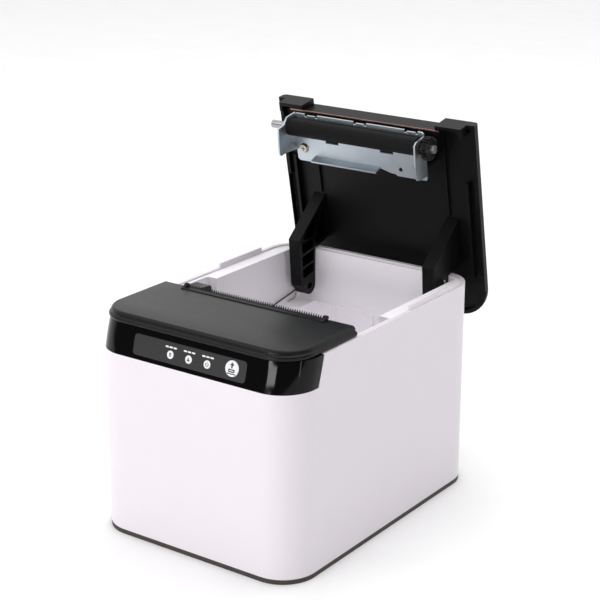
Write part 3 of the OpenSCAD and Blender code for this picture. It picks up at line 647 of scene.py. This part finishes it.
def make_lamps():
    """Three white lamps; their pictograms are a sheet, a warning sign and a power sign."""
    foot, face, crown = -3.9, 0.16, 0.05
    icon_low, icon_top = 0.18, 0.24

    def build(bm):
        for x in LAMP_XS:
            add_dome(bm, x, LAMP_UP, LAMP_R, foot, face, crown)
    piece("lamp_discs", build, "lamp_white", "casing", ["indicator_lamps"])

    left, middle, right = LAMP_XS
    y = LAMP_UP
    sheet = [rect(left - 0.62, y - 0.95, left + 0.62, y + 0.95, 0.18),
             rect(left - 0.3, y - 0.6, left + 0.3, y - 0.2),
             rect(left - 0.3, y + 0.15, left + 0.3, y + 0.5)]
    warning = [round_corners([(middle - 1.05, y - 0.8, 0.2), (middle + 1.05, y - 0.8, 0.2),
                              (middle, y + 1.05, 0.2)]),
               rect(middle - 0.14, y - 0.25, middle + 0.14, y + 0.4)]
    power_ring = [arc(right, y - 0.1, 1.05, 130, 410, 20) + arc(right, y - 0.1, 0.75, 410, 130, 20)]
    power_stroke = [rect(right - 0.15, y - 0.1, right + 0.15, y + 1.1)]
    icons = [sheet, warning, power_ring, power_stroke]
    flat_piece("lamp_icons", icons, icon_low, icon_top, "switch_dark", "casing")


def make_button():
    """Feed button, with an arrow over a sheet that comes out of a slot."""
    foot, face, crown = -2, 0.45, 0.06
    icon_low, icon_top = 0.5, 0.545

    def build(bm):
        add_dome(bm, BUTTON_X, BUTTON_UP, BUTTON_R, foot, face, crown, 8, 64)
    piece("button_cap", build, "button_white", "feed_button", ["feed_button"])

    x, y = BUTTON_X, BUTTON_UP
    arrow = [(x - 0.45, y + 0.2), (x + 0.45, y + 0.2), (x + 0.45, y + 1.6), (x + 1.3, y + 1.6), (x, y + 3.1),
             (x - 1.3, y + 1.6), (x - 0.45, y + 1.6)]
    sheet = rect(x - 1.9, y - 1.9, x + 1.9, y - 0.3, 0.3)
    hole = rect(x - 1.3, y - 1.35, x + 1.3, y - 0.85)
    slot = rect(x - 2.6, y - 2.9, x + 2.6, y - 2.4, 0.2)
    icons = [[arrow], [sheet, hole], [slot]]
    flat_piece("button_icon", icons, icon_low, icon_top, "switch_dark", "feed_button")


# ---------------------------------------------------------------- springs and wire

def make_springs():
    """Torsion springs on the hinge pins: a coil whose outer leg rests in the casing, and a leg on the lid."""
    wire_r, sides = 0.5, 10
    coil_r, turns, pitch, first_x, steps = 2.9, 3.6, 0.816, 50.2, 110
    leg_x, ledge = 50, 85.3 + wire_r
    _, y0, z0 = HINGE
    for side, name in ((-1, "left"), (1, "right")):
        winding = arc(y0, z0, coil_r, 0, 360 * turns, steps)
        coil = [(side * (first_x + pitch * turns * k / steps), y, z) for k, (y, z) in enumerate(winding)]
        last_x = coil[-1][0]
        coil += [(last_x, y0 + 2, z0 - 3.2), (last_x, y0 + 2.2, z0 - 6), (last_x, y0 + 1.4, ledge + 1.2),
                 (last_x, y0 - 0.6, ledge + 0.15), (last_x, y0 - 6, ledge)]
        x = side * leg_x
        leg = smooth_path([(x, y0 + coil_r, z0 + 0.2), (x, y0 + coil_r - 0.1, z0 + 3),
                           (x + side * 0.4, y0 + 2.2, z0 + 9), (x + side * 0.6, y0 + 0.6, z0 + 15),
                           (x + side * 0.4, y0 - 0.6, z0 + 21)], 8)

        def build_coil(bm, path=coil):
            add_rings(bm, tube_rings(path, wire_r, sides))

        def build_leg(bm, path=leg):
            add_rings(bm, tube_rings(path, wire_r, sides))

        nodes = ["hinge_springs"] if side < 0 else ()
        piece("spring_" + name, build_coil, "spring_steel", "casing", nodes)
        piece("spring_leg_" + name, build_leg, "spring_steel", "lid")


# the earth lead runs from the left spring's leg forward along the bay's ledge
EARTH_ROUTE = (
    (-53.1, 79.2, 91.2), (-52.8, 74, 90.4), (-52.6, 67, 89.4), (-52.2, 58, 88.2), (-51.6, 49, 86.9),
    (-51.4, 40, 86), (-51.6, 30, 85.8), (-52, 20, 85.8), (-52.6, 10, 85.8), (-54, 2, 85.8),
    (-56, -8, 85.8), (-57.2, -20, 85.8), (-57.6, -34, 85.8),
)
EARTH_R = 0.45


def make_wire():
    """Earth lead, a round wire along its route."""
    def build(bm):
        add_rings(bm, tube_rings(smooth_path(EARTH_ROUTE, 6), EARTH_R, 12))
    piece("earth_lead", build, "wire_dark", "casing", ["earth_wire"])


def make_lid_skin():
    """Thin outer wall that closes the grooves in the lid's skirt towards the outside."""
    inner_x, outer_x, front_y, back_y = 64.4, 64.98, 17.2, 60.3
    low, high = RIM_Z + 0.25, RIM_Z + 3

    def build(bm):
        for side in (-1, 1):
            ring = [(side * inner_x, front_y), (side * outer_x, front_y),
                    (side * outer_x, back_y), (side * inner_x, back_y)]
            add_rings(bm, [[opened(x, y, z) for x, y in ring] for z in (low, high)])
    piece("lid_skin", build, "lid_black", "lid", smooth=False)


# ---------------------------------------------------------------- rear sockets

def make_socket_details():
    """Tongue and contacts of the data socket, springy contacts of the drawer socket, pin of the inlet."""
    usb_x, usb_z = 9, BOARD_TOP + 5.5
    drawer_x, drawer_z = 30, BOARD_TOP + 7
    jack_x, jack_z = -12, BOARD_TOP + 5.4
    tongue_w, tongue_h = 2.8, 1.4
    contact_w, contact_t = 0.5, 0.1
    springs, spring_pitch, spring_r = 6, 1.02, 0.2

    def tongue(bm):
        add_box(bm, (usb_x - tongue_w, PORT_FACE - 10.9, usb_z - tongue_h),
                (usb_x + tongue_w, PORT_FACE - 2.5, usb_z + tongue_h))

    def contacts(bm):
        for x in (usb_x - 1.3, usb_x + 1.3):
            for z in (usb_z - 1.55, usb_z + 1.45):
                add_box(bm, (x - contact_w, PORT_FACE - 10, z), (x + contact_w, PORT_FACE - 3, z + contact_t))
        for k in range(springs):
            x = drawer_x + (k - (springs - 1) / 2) * spring_pitch
            path = [(x, PORT_FACE - 2.2, drawer_z + 3.3), (x, PORT_FACE - 6, drawer_z + 1.8),
                    (x, PORT_FACE - 10.6, drawer_z - 0.6)]
            add_rings(bm, tube_rings(path, spring_r, 8))

    def pin(bm):
        profile = ((PORT_FACE - 11.4, 0.68), (PORT_FACE - 2.6, 0.68), (PORT_FACE - 2.1, 0.4))
        add_rings(bm, [[(x, y, z) for x, z in circle(jack_x, jack_z, r, 20)] for y, r in profile])

    bevelled(piece("usb_tongue", tongue, "socket_black", "casing", smooth=False), 0.2)
    piece("socket_contacts", contacts, "brass", "casing", smooth=False)
    piece("inlet_pin", pin, "bright_steel", "casing")


# ---------------------------------------------------------------- stage

def make_floor():
    """Pale paper floor, in metres."""
    half = 4
    mesh = bpy.data.meshes.new("floor")
    corners = [(-half, -half, 0), (half, -half, 0), (half, half, 0), (-half, half, 0)]
    mesh.from_pydata(corners, [], [(0, 1, 2, 3)])
    floor = bpy.data.objects.new("floor", mesh)
    bpy.context.scene.collection.objects.link(floor)
    s = Shader("floor_paper")
    base = s.mix(s.spread(s.noise(0.05, 3), 0, 1), srgb(250, 250, 250), srgb(253, 253, 253))
    mesh.materials.append(s.paint(base, s.spread(s.noise(0.002, 2), 0.75, 0.85)))


def soft_light(name, place, aim, width, height, power):
    """Rectangular soft box, in metres and watts, turned towards aim."""
    data = bpy.data.lights.new(name, "AREA")
    data.shape = "RECTANGLE"
    data.size = width
    data.size_y = height
    data.energy = power
    light = bpy.data.objects.new(name, data)
    bpy.context.scene.collection.objects.link(light)
    light.location = place
    light.rotation_euler = (Vector(aim) - Vector(place)).to_track_quat("-Z", "Y").to_euler()


# strength of the room's light: low down in front, behind the printer, and overhead
ROOM_DIM = 0.08
BACKDROP = 1.08
CEILING = 0.9


def make_world():
    """White room that is bright behind and above the printer and dim low down on the camera's side."""
    world = bpy.data.worlds.new("studio")
    bpy.context.scene.world = world
    world.use_nodes = True
    tree = world.node_tree
    nodes, links = tree.nodes, tree.links
    way = nodes.new("ShaderNodeTexCoord").outputs["Generated"]

    def toward(direction, start, end, low, high):
        """Strength that grows from low to high as the view turns towards direction."""
        dot = nodes.new("ShaderNodeVectorMath")
        dot.operation = "DOT_PRODUCT"
        links.new(way, dot.inputs[0])
        dot.inputs[1].default_value = Vector(direction).normalized()
        ramp = nodes.new("ShaderNodeMapRange")
        ramp.interpolation_type = "SMOOTHSTEP"
        for name, value in (("From Min", start), ("From Max", end), ("To Min", low), ("To Max", high)):
            ramp.inputs[name].default_value = value
        links.new(dot.outputs["Value"], ramp.inputs["Value"])
        return ramp.outputs["Result"]

    backdrop = toward((-0.45, 0.9, 0), -0.15, 0.3, ROOM_DIM, BACKDROP)
    ceiling = toward((0, 0, 1), 0.3, 0.75, 0, CEILING)
    both = nodes.new("ShaderNodeMath")
    both.operation = "MAXIMUM"
    links.new(backdrop, both.inputs[0])
    links.new(ceiling, both.inputs[1])
    room = nodes["Background"]
    room.inputs["Color"].default_value = (1, 1, 1, 1)
    links.new(both.outputs[0], room.inputs["Strength"])


def make_light():
    """Key light, two windows and a slit that the gloss band mirrors, and two soft boxes from above."""
    make_world()
    soft_light("key", (-1.0, -1.5, 1.3), (0, 0, 0.1), 1.2, 1.0, 7)
    soft_light("window", (-0.1, -1.9, 0.36), (0, 0, 0.1), 0.9, 0.24, 7)
    soft_light("window_low", (-0.25, -1.9, 0.09), (0, 0, 0.1), 0.7, 0.12, 3.2)
    soft_light("slit", (1.9, -0.55, 0.3), (0, 0, 0.1), 0.08, 0.7, 0.8)
    soft_light("fill", (1.6, -0.3, 1.6), (0, 0, 0.1), 1.0, 1.0, 0.4)
    soft_light("overhead", (0.0, 0.35, 1.7), (0, 0.1, 0), 1.3, 1.3, 9)
    bpy.context.scene.view_settings.view_transform = "Standard"


make_camera()
make_floor()
make_light()
make_materials()
soften_nodes()
make_cover()
make_tear_bar()
make_band()
make_panel()
make_lamps()
make_button()
make_springs()
make_wire()
make_lid_skin()
make_socket_details()
